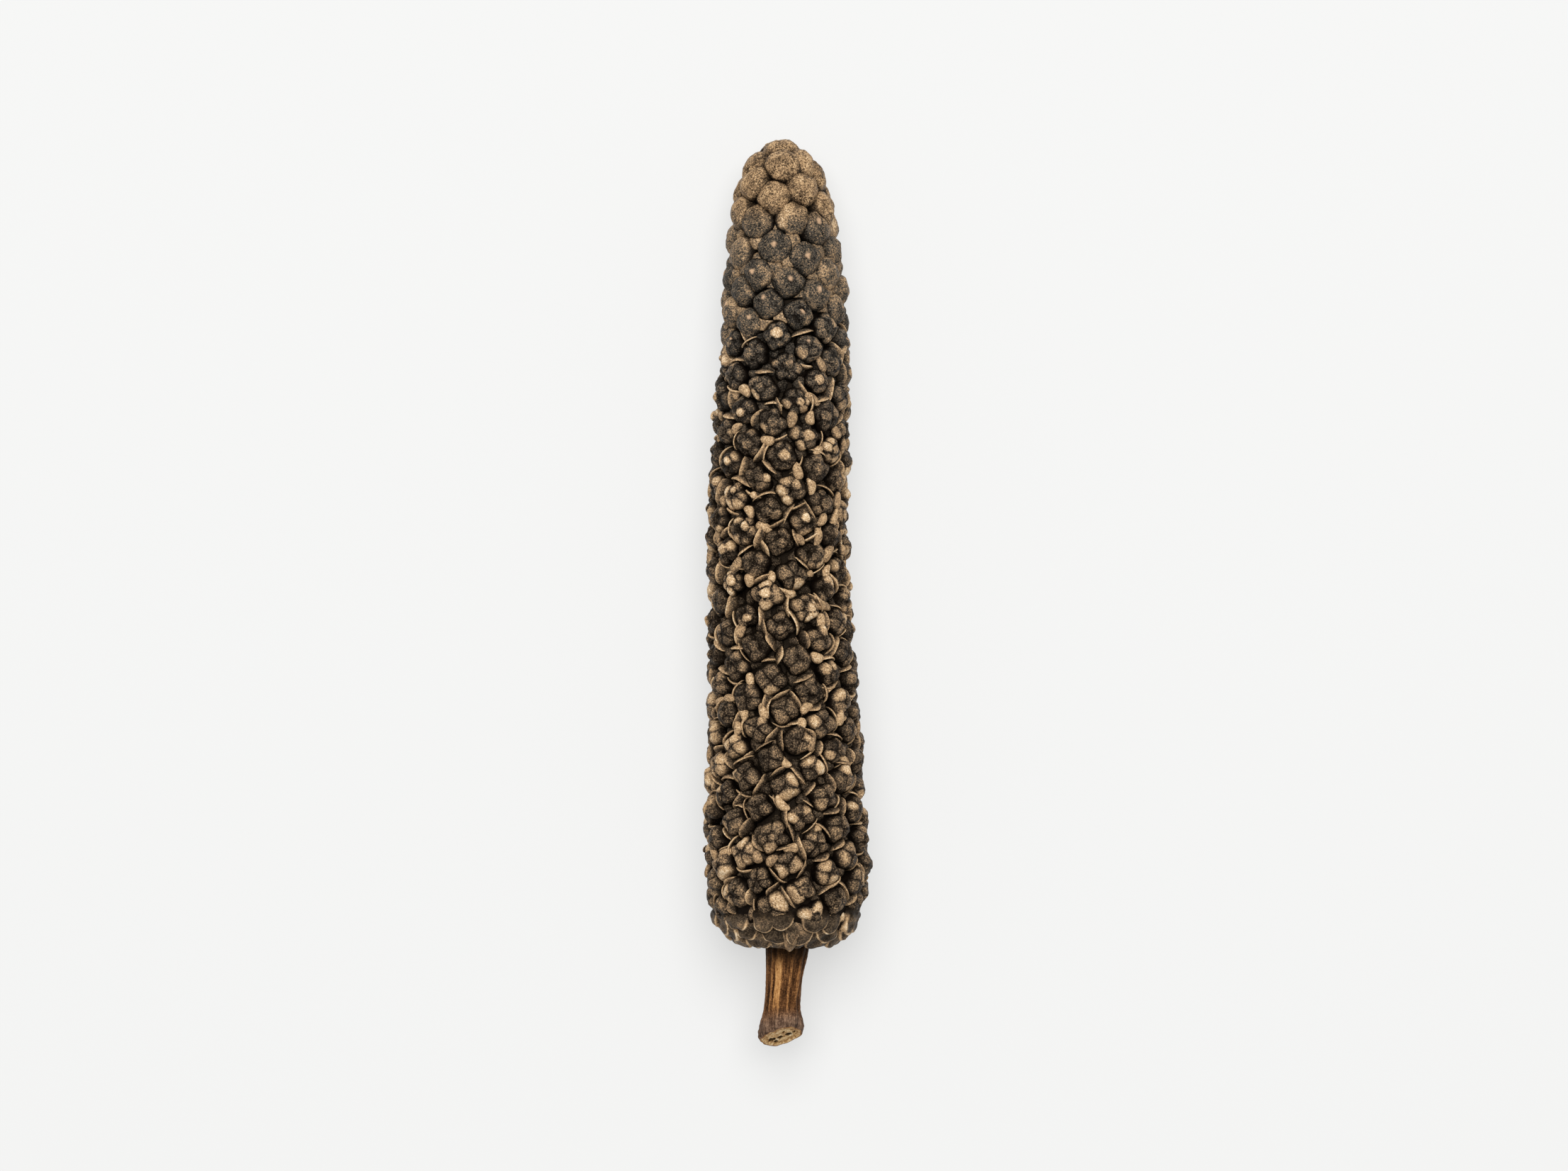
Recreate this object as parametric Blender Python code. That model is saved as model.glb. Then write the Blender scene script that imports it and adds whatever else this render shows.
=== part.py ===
"""A dried long pepper lying on its side: a spike packed with small fruits, on its cut stalk.

Lengths are in metres and +Z is up. The spike lies along Y with its tip at +Y. The origin is
under the middle of the whole piece, on the surface that it rests on.
"""
import math
import random

import bmesh
import bpy
from mathutils import Vector, geometry

MM = 0.001
TOTAL_LENGTH = 50 * MM
TIP_Y = TOTAL_LENGTH / 2

# The spike over the tops of its fruits: distance from the tip, radius. It ends at the collar.
SPIKE_OUTLINE = [
    (-0.14 * MM, 0.00 * MM), (0.14 * MM, 1.02 * MM), (0.8 * MM, 1.80 * MM), (2.6 * MM, 2.66 * MM),
    (5.5 * MM, 3.22 * MM), (9.0 * MM, 3.58 * MM), (16.0 * MM, 3.95 * MM), (25.0 * MM, 4.14 * MM),
    (33.0 * MM, 4.44 * MM), (39.5 * MM, 4.70 * MM), (42.0 * MM, 4.46 * MM), (43.3 * MM, 3.75 * MM),
    (44.1 * MM, 2.90 * MM), (44.3 * MM, 2.10 * MM),
]
# The sway of the axis, seen from above: distance from the tip, offset in X.
AXIS_SWAY = [
    (0.0 * MM, -0.37 * MM), (11.0 * MM, -0.14 * MM), (21.0 * MM, -0.53 * MM), (29.0 * MM, -0.29 * MM),
    (36.0 * MM, -0.09 * MM), (44.0 * MM, -0.03 * MM),
]
CURVE_STEPS = 40

# The underside runs straight along the surface between these distances from the tip.
LIES_FROM = 7.0 * MM
LIES_TO = 40.0 * MM
FLAT_DEPTH = 0.34 * MM

# The fruits follow one spiral, each with the same share of the outline's surface.
DIVERGENCE = math.radians(137.66)
FIRST_ANGLE = math.radians(331.0)
FIRST_SHARE = 0.42
FRUIT_AREA = 3.52 * MM * MM
WANDER = 0.14 * MM
WANDER_FULL_AT = 24.0 * MM
# The first one stands on the tip, and the next ones a little further from it than their
# share: distance from the tip, shift towards the stalk.
TIP_SHARE = 0.02
TIP_SHIFTS = [(1.5 * MM, 0.00 * MM), (3.4 * MM, 0.50 * MM), (8.0 * MM, 0.45 * MM),
              (12.5 * MM, 0.00 * MM)]

# How tall they stand: distance from the tip, height.
FRUIT_HEIGHTS = [
    (0.0 * MM, 0.42 * MM), (3.0 * MM, 0.60 * MM), (9.0 * MM, 0.86 * MM), (41.0 * MM, 0.92 * MM),
    (44.3 * MM, 0.65 * MM),
]
# The shortest ones fall this much of their height short of the outline.
HEIGHT_SPREAD = 0.20
# Each is a round dome inside its own cell: shares of the way to the cell's corners and of
# the height, at its shoulder and at its foot.
SHOULDER_REACH = 0.58
SHOULDER_DEPTH = 0.16
FOOT_REACH = 0.87
FOOT_DEPTH = 0.62
FRUIT_RADIUS = 1.06 * MM
TOP_LEAN = 0.10

# Under each fruit is a thin scale, whose rim stands up between the fruits towards the stalk.
SCALE_RISE = 0.68
SCALE_HALF_ARC = math.radians(80)
SCALE_TURN = math.radians(35)
SCALE_REACH = (0.5, 1.0)
SCALES_FROM = 3.5 * MM
SCALES_FULL_AT = 14.0 * MM

# The lowest scales hang round the stalk as a ragged collar with a socket for it.
COLLAR_TIPS = 12
COLLAR_RADIUS = 1.95 * MM
COLLAR_DROP = (0.05 * MM, 0.40 * MM)
SOCKET_RADIUS = 1.55 * MM
SOCKET_DEPTH = 0.70 * MM
LIP_RISE = 0.10 * MM

STALK_GAP = 0.30 * MM
STALK_SIDES = 44
STALK_RIBS = 11
RIB_HEIGHT = 0.09 * MM
RIB_ROUNDNESS = 0.7
# The stalk from its top to the cut: share of its length, radius.
STALK_OUTLINE = [
    (0.00, 1.22 * MM), (0.14, 1.20 * MM), (0.34, 1.07 * MM), (0.55, 1.00 * MM),
    (0.72, 1.02 * MM), (0.86, 1.20 * MM), (0.95, 1.26 * MM), (1.00, 1.16 * MM),
]
# Its middle line: share of its length, offset in X.
STALK_SWAY = [(0.0, 0.05 * MM), (0.35, -0.15 * MM), (0.70, -0.31 * MM), (1.0, -0.35 * MM)]
STALK_DROOP = 0.20 * MM
STALK_RING_STEPS = 3
# Its swollen foot begins at this share of its length, and is half as ribbed at its end.
FOOT_FROM = 0.7
FOOT_LOBES = 5
FOOT_LOBE_TURN = 0.6
FOOT_LOBE_HEIGHT = 0.06 * MM
# The break faces the foot and a little up: its slope along Y for a step up, and to the right.
CUT_SLOPE_UP = math.tan(math.radians(25))
CUT_SLOPE_SIDE = 0.22
CUT_SLOPE_FADE = 3
# The broken end: share of the radius, depth below the rim.
CUT_RINGS = [(0.90, 0.00 * MM), (0.78, 0.10 * MM), (0.52, 0.06 * MM), (0.26, 0.12 * MM)]
CUT_CENTRE_DEPTH = 0.07 * MM

SAME_PLACE = 1e-9
SEED = 31


def smooth_curve(points):
    """A Catmull-Rom curve through the 2D points, as a fine row of points."""
    ends = [points[0], *points, points[-1]]
    curve = []
    for p0, p1, p2, p3 in zip(ends, ends[1:], ends[2:], ends[3:]):
        for step in range(CURVE_STEPS):
            t = step / CURVE_STEPS
            curve.append(tuple(
                0.5 * (2 * b + (c - a) * t + (2 * a - 5 * b + 4 * c - d) * t * t
                       + (3 * b - a - 3 * c + d) * t ** 3)
                for a, b, c, d in zip(p0, p1, p2, p3)))
    return curve + [points[-1]]


def read_row(rows, key):
    """The value at key in rows of (key, value), which rise in key."""
    index = next((k for k, row in enumerate(rows) if row[0] >= key), len(rows) - 1)
    if index == 0 or rows[index][0] < key:
        return rows[index][1]
    (before, first), (after, second) = rows[index - 1], rows[index]
    return first + (second - first) * (key - before) / (after - before)


class Outline:
    """The spike's outline, turned about its axis and measured along its surface."""

    def __init__(self):
        self.rows = smooth_curve(SPIKE_OUTLINE)
        self.sway = smooth_curve(AXIS_SWAY)
        self.belly = [row for row in self.rows if row[0] <= LIES_TO + MM]
        area = turn = 0.0
        self.row_at_area = [(0.0, 0)]
        self.turn_at_row = [(0, 0.0)]
        for index, (before, after) in enumerate(zip(self.rows, self.rows[1:]), 1):
            length = math.dist(before, after)
            radius = (before[1] + after[1]) / 2
            area += 2 * math.pi * radius * length
            turn += length / radius
            self.row_at_area.append((area, index))
            self.turn_at_row.append((index, turn))
        self.area = area

    def axis(self, along):
        """X and Z of the axis at a distance from the tip."""
        lying = min(max(along, LIES_FROM), LIES_TO)
        return read_row(self.sway, along), read_row(self.belly, lying) - FLAT_DEPTH

    def point(self, row, angle, height):
        """The point at a height over the outline, and the distance from the tip below it."""
        index = min(int(row), len(self.rows) - 2)
        before, after = self.rows[index], self.rows[index + 1]
        length = math.dist(before, after)
        run = (after[0] - before[0]) / length
        rise = (after[1] - before[1]) / length
        along = before[0] + (after[0] - before[0]) * (row - index)
        radius = before[1] + (after[1] - before[1]) * (row - index) + height * run
        x, z = self.axis(along)
        spot = Vector((x + radius * math.sin(angle), TIP_Y - along + height * rise,
                       z + radius * math.cos(angle)))
        return spot, along


def fruit_places(outline, draw):
    """(row, angle) of each fruit along the spiral, with a small wander down the spike."""
    places = []
    while True:
        number = len(places)
        area = (number + FIRST_SHARE if number else TIP_SHARE) * FRUIT_AREA
        row = read_row(outline.row_at_area, area)
        along, radius = outline.rows[int(row)]
        wander = WANDER * min(along / WANDER_FULL_AT, 1.0)
        shift = read_row(TIP_SHIFTS, along) + draw.uniform(-wander, wander)
        area += shift * 2 * math.pi * radius
        if area > outline.area - FRUIT_AREA:
            return places
        angle = FIRST_ANGLE - number * DIVERGENCE + draw.uniform(-wander, wander) / max(radius, MM)
        places.append((read_row(outline.row_at_area, area), angle))


def collar_places(outline):
    last = len(outline.rows) - 1
    return [(last, 2 * math.pi * k / COLLAR_TIPS) for k in range(COLLAR_TIPS)]


def neighbours(outline, places):
    """Triples of places that meet at a corner, facing outwards."""
    full = 2 * math.pi
    flat = []
    for lap in (-1, 0, 1):
        for row, angle in places:
            flat.append(Vector((lap * full - angle % full, read_row(outline.turn_at_row, row))))
    _, _, faces, sources, _, _ = geometry.delaunay_2d_cdt(flat, [], [], 0, SAME_PLACE)
    triples = {}
    for face in faces:
        numbers = [sources[corner][0] % len(places) for corner in face]
        middle = sum(flat[sources[corner][0]].x for corner in face) / 3
        if len(set(numbers)) == 3 and -full <= middle < 0:
            first = numbers.index(min(numbers))
            triples[tuple(numbers[first:] + numbers[:first])] = True
    return list(triples)


def rounds(triples, count):
    """For each place, the (triple, next neighbour) pairs in order round it."""
    follows = [{} for _ in range(count)]
    for index, (a, b, c) in enumerate(triples):
        for own, first, second in ((a, b, c), (b, c, a), (c, a, b)):
            follows[own][first] = (index, second)
    ordered = []
    for steps in follows:
        arrived = {second for _, second in steps.values()}
        current = next((first for first in steps if first not in arrived), min(steps))
        ring = []
        while current in steps and len(ring) < len(steps):
            index, after = steps[current]
            ring.append((current, index, after))
            current = after
        ordered.append(ring)
    return ordered


def inside(centre, corner, reach):
    """A point this share of the way to a corner, or of the fruit's radius if that is nearer."""
    away = corner - centre
    return centre + away * reach * min(1.0, FRUIT_RADIUS / away.length)


class SpikeMesh:
    """The fruits, the scales between them and the collar, as one closed skin."""

    def __init__(self):
        self.draw = random.Random(SEED)
        self.outline = Outline()
        self.fruits = fruit_places(self.outline, self.draw)
        self.places = self.fruits + collar_places(self.outline)
        self.triples = neighbours(self.outline, self.places)
        self.rounds = rounds(self.triples, len(self.places))
        self.heights = [read_row(FRUIT_HEIGHTS, self.outline.point(row, angle, 0.0)[1])
                        for row, angle in self.places]
        self.scales = [
            (self.draw.uniform(-SCALE_TURN, SCALE_TURN), self.draw.uniform(*SCALE_REACH))
            for _ in self.fruits]
        self.bm = bmesh.new()
        self.shared = {}

    def spot(self, members, depth):
        """The middle of some places, this share of their fruits' height below the outline."""
        spots = [self.outline.point(*self.places[number], -depth * self.heights[number])[0]
                 for number in members]
        return sum(spots, Vector()) / len(spots)

    def scale_rise(self, members):
        """How high the scales of these places stand up where they meet, as a share."""
        here = self.spot(members, 1.0)
        rise = 0.0
        for number in members:
            if number >= len(self.fruits):
                continue
            row, angle = self.places[number]
            seat, along = self.outline.point(row, angle, -self.heights[number])
            grown = min(max((along - SCALES_FROM) / (SCALES_FULL_AT - SCALES_FROM), 0.0), 1.0)
            around = Vector((math.cos(angle), 0, -math.sin(angle)))
            to_stalk = self.outline.point(row + 1, angle, -self.heights[number])[0] - seat
            turn, reach = self.scales[number]
            away = here - seat
            bearing = math.atan2(away.dot(around), away.dot(to_stalk.normalized())) - turn
            bearing = math.remainder(bearing, 2 * math.pi)
            if abs(bearing) < SCALE_HALF_ARC:
                shape = math.sqrt(math.cos(bearing / SCALE_HALF_ARC * math.pi / 2))
                rise = max(rise, SCALE_RISE * shape * reach * grown)
        return rise

    def border(self, *members):
        """The vertex where these places meet, made once."""
        key = tuple(sorted(members))
        if key not in self.shared:
            self.shared[key] = self.bm.verts.new(self.spot(key, 1.0 - self.scale_rise(key)))
        return self.shared[key]

    def add_fruit(self, number):
        """A dome inside its own border, with its top a little nearer the tip."""
        verts, faces = self.bm.verts, self.bm.faces
        top = self.draw.uniform(0.0, HEIGHT_SPREAD)
        row, angle = self.places[number]
        centre = [self.spot((number,), top + depth)
                  for depth in (0.0, SHOULDER_DEPTH, FOOT_DEPTH)]
        lean = self.outline.point(row - 1, angle, 0.0)[0] - self.outline.point(row, angle, 0.0)[0]
        lean = lean.normalized() * TOP_LEAN * self.heights[number]
        ring = []
        for _, index, after in self.rounds[number]:
            corner = self.triples[index]
            shoulder = self.spot(corner, top + SHOULDER_DEPTH)
            foot = self.spot(corner, top + FOOT_DEPTH)
            ring.append((
                verts.new(inside(centre[1], shoulder, SHOULDER_REACH) + lean / 2),
                verts.new(inside(centre[2], foot, FOOT_REACH)),
                self.border(*corner),
                self.border(number, after)))
        apex = verts.new(centre[0] + lean)
        for here, beyond in zip(ring, ring[1:] + ring[:1]):
            faces.new((apex, here[0], beyond[0]))
            faces.new((here[0], here[1], beyond[1]))
            faces.new((here[0], beyond[1], beyond[0]))
            faces.new((here[1], here[2], here[3]))
            faces.new((here[1], here[3], beyond[1]))
            faces.new((beyond[1], here[3], beyond[2]))

    def ring_point(self, angle, radius, along):
        """A point round the axis, at a distance from the tip."""
        x, z = self.outline.axis(along)
        return Vector((x + radius * math.sin(angle), TIP_Y - along, z + radius * math.cos(angle)))

    def add_collar(self):
        """The hanging scale tips, and the socket inside them."""
        end = SPIKE_OUTLINE[-1][0]
        first = len(self.fruits)
        numbers = range(first, first + COLLAR_TIPS)
        verts, faces = self.bm.verts, self.bm.faces
        bottom = end - SOCKET_DEPTH
        tips, lips, floors = [], [], []
        for number in numbers:
            angle = self.places[number][1]
            drop = self.draw.uniform(*COLLAR_DROP)
            tips.append(verts.new(self.ring_point(angle, COLLAR_RADIUS, end + drop)))
            lips.append(verts.new(self.ring_point(angle, SOCKET_RADIUS, end - LIP_RISE)))
            floors.append(verts.new(self.ring_point(angle, SOCKET_RADIUS, bottom)))
        centre = verts.new(self.ring_point(0.0, 0.0, bottom))
        for k, number in enumerate(numbers):
            after = (k + 1) % COLLAR_TIPS
            notch = self.border(number, first + after)
            for before, index, beyond in self.rounds[number]:
                corner = self.border(*self.triples[index])
                faces.new((tips[k], self.border(number, before), corner))
                faces.new((tips[k], corner, self.border(number, beyond)))
            faces.new((tips[k], lips[k], notch))
            faces.new((notch, lips[after], tips[after]))
            faces.new((notch, lips[k], lips[after]))
            faces.new((lips[k], floors[after], lips[after]))
            faces.new((lips[k], floors[k], floors[after]))
            faces.new((floors[k], centre, floors[after]))

    def build(self):
        """The whole skin, pressed flat where the spike lies on the surface."""
        for number in range(len(self.fruits)):
            self.add_fruit(number)
        self.add_collar()
        for vertex in self.bm.verts:
            vertex.co.z = max(vertex.co.z, 0.0)
        return self.bm


def add_ring(bm, points):
    return [bm.verts.new(point) for point in points]


def join_rings(bm, upper, lower):
    """A band of triangles between two rings of as many vertices."""
    for k, vertex in enumerate(upper):
        after = (k + 1) % len(upper)
        bm.faces.new((vertex, lower[after], upper[after]))
        bm.faces.new((vertex, lower[k], lower[after]))


def close_ring(bm, ring, point):
    centre = bm.verts.new(point)
    for vertex, after in zip(ring, ring[1:] + ring[:1]):
        bm.faces.new((after, vertex, centre))


def stalk_radius(angle, share):
    """The ribbed radius, with a few soft lobes at the foot."""
    rib = abs(math.sin(angle * STALK_RIBS / 2)) ** RIB_ROUNDNESS - 1.0
    foot = max(share - FOOT_FROM, 0.0) / (1.0 - FOOT_FROM)
    lobe = math.sin(angle * FOOT_LOBES + FOOT_LOBE_TURN) * FOOT_LOBE_HEIGHT * foot
    return read_row(STALK_CURVE, share) + RIB_HEIGHT * rib * (1.0 - foot / 2) + lobe


def make_stalk(outline):
    """The ribbed stalk, from inside the collar to the slanted break."""
    top = SPIKE_OUTLINE[-1][0] - SOCKET_DEPTH + STALK_GAP
    height = outline.axis(top)[1]
    slope = math.hypot(CUT_SLOPE_UP, CUT_SLOPE_SIDE)
    length = TOTAL_LENGTH - top - slope * STALK_OUTLINE[-1][1]
    angles = [2 * math.pi * k / STALK_SIDES for k in range(STALK_SIDES)]

    def ring_at(share, width=1.0, depth=0.0):
        x = read_row(STALK_MIDDLE, share)
        z = height - STALK_DROOP * share * share
        points = []
        for angle in angles:
            radius = stalk_radius(angle, share) * width
            across, up = radius * math.sin(angle), radius * math.cos(angle)
            slant = (CUT_SLOPE_UP * up + CUT_SLOPE_SIDE * across) * share ** CUT_SLOPE_FADE
            points.append((x + across, TIP_Y - top - length * share + slant + depth, z + up))
        return points

    bm = bmesh.new()
    count = STALK_RING_STEPS * (len(STALK_OUTLINE) - 1)
    rings = [add_ring(bm, ring_at(k / count)) for k in range(count + 1)]
    rings += [add_ring(bm, ring_at(1.0, width, depth)) for width, depth in CUT_RINGS]
    for upper, lower in zip(rings, rings[1:]):
        join_rings(bm, upper, lower)
    close_ring(bm, rings[-1], (STALK_SWAY[-1][1], TIP_Y - top - length + CUT_CENTRE_DEPTH,
                               height - STALK_DROOP))
    close_ring(bm, rings[0][::-1], (STALK_SWAY[0][1], TIP_Y - top, height))
    return bm


def make_object(name, bm, material):
    mesh = bpy.data.meshes.new(name)
    bm.to_mesh(mesh)
    bm.free()
    mesh.shade_smooth()
    mesh.materials.append(material)
    made = bpy.data.objects.new(name, mesh)
    bpy.context.scene.collection.objects.link(made)
    return made


def make_material(name, colour, roughness):
    material = bpy.data.materials.new(name)
    material.use_nodes = True
    shader = material.node_tree.nodes["Principled BSDF"]
    shader.inputs["Base Color"].default_value = (*colour, 1.0)
    shader.inputs["Roughness"].default_value = roughness
    shader.inputs["Metallic"].default_value = 0.0
    return material


STALK_CURVE = smooth_curve(STALK_OUTLINE)
STALK_MIDDLE = smooth_curve(STALK_SWAY)


def main():
    for obj in list(bpy.data.objects):
        bpy.data.objects.remove(obj)
    spike = SpikeMesh()
    dried_fruit = make_material("dried_fruit", (0.090, 0.062, 0.042), 0.85)
    dried_stalk = make_material("dried_stalk", (0.195, 0.088, 0.034), 0.75)
    make_object("stalk", make_stalk(spike.outline), dried_stalk)
    make_object("spike", spike.build(), dried_fruit)


main()
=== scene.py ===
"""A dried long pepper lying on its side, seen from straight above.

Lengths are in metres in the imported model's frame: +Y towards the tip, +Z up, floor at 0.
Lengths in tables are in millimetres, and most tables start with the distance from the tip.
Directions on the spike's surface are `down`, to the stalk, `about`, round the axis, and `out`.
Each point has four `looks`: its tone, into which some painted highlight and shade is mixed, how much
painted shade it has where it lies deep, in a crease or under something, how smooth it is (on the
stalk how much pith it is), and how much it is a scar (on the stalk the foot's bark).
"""
import math
import random

import bpy
import numpy as np
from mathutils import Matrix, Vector, geometry


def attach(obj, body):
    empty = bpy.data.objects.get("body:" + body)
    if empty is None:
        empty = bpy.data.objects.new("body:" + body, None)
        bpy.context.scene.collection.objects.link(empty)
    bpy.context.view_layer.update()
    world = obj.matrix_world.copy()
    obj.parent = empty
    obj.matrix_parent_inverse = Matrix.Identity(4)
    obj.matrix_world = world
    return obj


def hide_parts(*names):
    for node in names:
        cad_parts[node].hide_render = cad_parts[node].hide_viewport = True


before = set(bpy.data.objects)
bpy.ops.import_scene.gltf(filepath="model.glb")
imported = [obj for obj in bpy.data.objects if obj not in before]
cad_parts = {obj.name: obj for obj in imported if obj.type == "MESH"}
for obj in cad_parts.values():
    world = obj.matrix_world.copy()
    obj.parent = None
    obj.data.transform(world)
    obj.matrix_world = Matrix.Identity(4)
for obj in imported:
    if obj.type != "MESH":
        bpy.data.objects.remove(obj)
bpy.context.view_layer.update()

MM = 0.001
FULL = 2 * math.pi

# The outline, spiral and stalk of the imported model
TOTAL_LENGTH = 50 * MM
TIP_Y = TOTAL_LENGTH / 2
# The spike's radius over the tops of its fruits
SPIKE_OUTLINE = [
    (-0.14, 0), (0.14, 1.02), (0.8, 1.8), (2.6, 2.66), (5.5, 3.22), (9, 3.58), (16, 3.95),
    (25, 4.14), (33, 4.44), (39.5, 4.7), (42, 4.46), (43.3, 3.75), (44.1, 2.9), (44.3, 2.1),
]
# Where its axis is in X
AXIS_SWAY = [(0, -0.37), (11, -0.14), (21, -0.53), (29, -0.29), (36, -0.09), (44, -0.03)]
SPIKE_END = SPIKE_OUTLINE[-1][0] * MM
CURVE_STEPS = 40
LIES_FROM = 7 * MM
LIES_TO = 40 * MM
FLAT_DEPTH = 0.34 * MM
DIVERGENCE = math.radians(137.66)
FIRST_ANGLE = math.radians(331)
FIRST_SHARE = 0.42
FRUIT_AREA = 3.52 * MM * MM
WANDER = 0.14 * MM
WANDER_FULL_AT = 24 * MM
TIP_SHARE = 0.02
# How far the fruits shift towards the stalk
TIP_SHIFTS = [(1.5, 0), (3.4, 0.5), (8, 0.45), (12.5, 0)]
FRUIT_HEIGHTS = [(0, 0.42), (3, 0.6), (9, 0.86), (41, 0.92), (44.3, 0.65)]
HEIGHT_SPREAD = 0.2
SCALE_TURN = math.radians(35)
SCALE_REACH = (0.5, 1)
COLLAR_TIPS = 12
SOCKET_DEPTH = 0.7 * MM
STALK_GAP = 0.3 * MM
# The stalk's radius, and where its middle is in X, at shares of its length from its top
STALK_OUTLINE = [
    (0, 1.22), (0.14, 1.2), (0.34, 1.07), (0.55, 1), (0.72, 1.02), (0.86, 1.2), (0.95, 1.26),
    (1, 1.16),
]
STALK_SWAY = [(0, 0.05), (0.35, -0.15), (0.7, -0.31), (1, -0.35)]
STALK_DROOP = 0.2 * MM
CUT_SLOPE_UP = math.tan(math.radians(25))
CUT_SLOPE_SIDE = 0.22
CUT_SLOPE_FADE = 3
SEED = 31
# Moves of single fruits down and about, and a lift as a share of the fruit's height
NUDGES = {
    0: (0, 0, -0.32), 2: (0.55, 0.2, -0.35), 3: (0.5, 0.2, -0.2), 8: (0.35, 0.15, 0),
    10: (0.24, -0.1, 0), 13: (-0.05, 0.32, 0), 21: (-0.4, 0.3, 0), 23: (-0.35, 0, 0),
    26: (0.18, -0.1, 0), 34: (0.45, 0, 0), 39: (0.08, 0.15, 0), 52: (-0.1, 0.19, 0),
}


def smooth_curve(points):
    """A Catmull-Rom curve through the 2D points, as a fine row of points."""
    ends = np.array([points[0], *points, points[-1]], float)
    t = np.linspace(0, 1, CURVE_STEPS, endpoint=False)[:, None]
    curve = [
        0.5 * (2 * b + (c - a) * t + (2 * a - 5 * b + 4 * c - d) * t ** 2
               + (3 * b - a - 3 * c + d) * t ** 3)
        for a, b, c, d in zip(ends, ends[1:], ends[2:], ends[3:])]
    return np.vstack([*curve, ends[-1:]])


def ease(low, high, value):
    """A soft way from 0 at low to 1 at high, where high may be the smaller one."""
    t = np.clip((value - low) / (high - low), 0, 1)
    return t * t * (3 - 2 * t)


def at_stops(place, stops):
    """What the rows (place, value) give at this place."""
    return np.interp(place, *np.array(stops).T)


ROWS = smooth_curve(SPIKE_OUTLINE) * MM
SWAY = smooth_curve(AXIS_SWAY) * MM
BELLY = ROWS[ROWS[:, 0] <= LIES_TO + MM]
ROW_LENGTHS = np.hypot(*np.diff(ROWS, axis=0).T)
ROW_RADII = (ROWS[1:, 1] + ROWS[:-1, 1]) / 2
AREA_AT_ROW = np.concatenate([[0], np.cumsum(FULL * ROW_RADII * ROW_LENGTHS)])
TURN_AT_ROW = np.concatenate([[0], np.cumsum(ROW_LENGTHS / ROW_RADII)])
ROW_NUMBERS = np.arange(len(ROWS))
LENGTH_AT_ROW = np.concatenate([[0], np.cumsum(ROW_LENGTHS)])


def axis_at(along):
    """X and Z of the axis at distances from the tip."""
    lying = np.clip(along, LIES_FROM, LIES_TO)
    return at_stops(along, SWAY), at_stops(lying, BELLY) - FLAT_DEPTH


def on_outline(row, angle, height=0):
    """Points over the outline, the directions (down, about, out) there, and the way from the tip."""
    row, angle = np.broadcast_arrays(np.asarray(row, float), np.asarray(angle, float))
    index = np.clip(row.astype(int), 0, len(ROWS) - 2)
    before, after = ROWS[index], ROWS[index + 1]
    step = (after - before) / ROW_LENGTHS[index][..., None]
    run, rise = step[..., 0], step[..., 1]
    middle = before + (after - before) * (row - index)[..., None]
    along, radius = middle[..., 0], middle[..., 1] + height * run
    x, z = axis_at(along)
    sine, cosine = np.sin(angle), np.cos(angle)
    spot = np.stack([x + radius * sine, TIP_Y - along + height * rise, z + radius * cosine], -1)
    down = np.stack([rise * sine, -run, rise * cosine], -1)
    about = np.stack([cosine, 0 * sine, -sine], -1)
    out = np.stack([run * sine, rise, run * cosine], -1)
    return spot, (down, about, out), along


def fruit_places(draw):
    """(row, angle) of each fruit along the spiral, with a small wander."""
    places = []
    while True:
        number = len(places)
        area = (number + FIRST_SHARE if number else TIP_SHARE) * FRUIT_AREA
        along, radius = ROWS[int(np.interp(area, AREA_AT_ROW, ROW_NUMBERS))]
        wander = WANDER * min(along / WANDER_FULL_AT, 1)
        shift = at_stops(along / MM, TIP_SHIFTS) * MM
        area += (shift + draw.uniform(-wander, wander)) * FULL * radius
        if area > AREA_AT_ROW[-1] - FRUIT_AREA:
            return places
        angle = FIRST_ANGLE - number * DIVERGENCE + draw.uniform(-wander, wander) / max(radius, MM)
        places.append((np.interp(area, AREA_AT_ROW, ROW_NUMBERS), angle))


def neighbours(places):
    """Triples of places that meet at a corner."""
    flat = []
    for lap in (-1, 0, 1):
        for row, angle in places:
            turn = np.interp(row, ROW_NUMBERS, TURN_AT_ROW)
            flat.append(Vector((lap * FULL - angle % FULL, turn)))
    _, _, faces, sources, _, _ = geometry.delaunay_2d_cdt(flat, [], [], 0, 1e-9)
    triples = {}
    for face in faces:
        numbers = [sources[corner][0] % len(places) for corner in face]
        middle = sum(flat[sources[corner][0]].x for corner in face) / 3
        if len(set(numbers)) == 3 and -FULL <= middle < 0:
            triples[tuple(sorted(numbers))] = True
    return list(triples)


draw = random.Random(SEED)
FRUITS = fruit_places(draw)
COUNT = len(FRUITS)
PLACES = np.array(FRUITS + [(len(ROWS) - 1, FULL * k / COLLAR_TIPS) for k in range(COLLAR_TIPS)])
SCALES = [(draw.uniform(-SCALE_TURN, SCALE_TURN), draw.uniform(*SCALE_REACH)) for _ in FRUITS]
TOPS = np.array([draw.uniform(0, HEIGHT_SPREAD) for _ in FRUITS])
for number, (nudge_down, nudge_about, lift) in NUDGES.items():
    row, angle = PLACES[number]
    at = int(row)
    PLACES[number] = (row + nudge_down * MM / ROW_LENGTHS[at], angle + nudge_about * MM / ROW_RADII[at])
    TOPS[number] -= lift
SEATS, (DOWN, ABOUT, OUT), ALONG = on_outline(*PLACES.T)
TRIPLES = neighbours([tuple(place) for place in PLACES])
# Distance of each fruit from the tip in millimetres
TO_STALK = ALONG[:COUNT] / MM
SIZES = 1 + ease(9, 13, TO_STALK) * np.array([draw.uniform(-0.1, 0.09) for _ in FRUITS])
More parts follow.
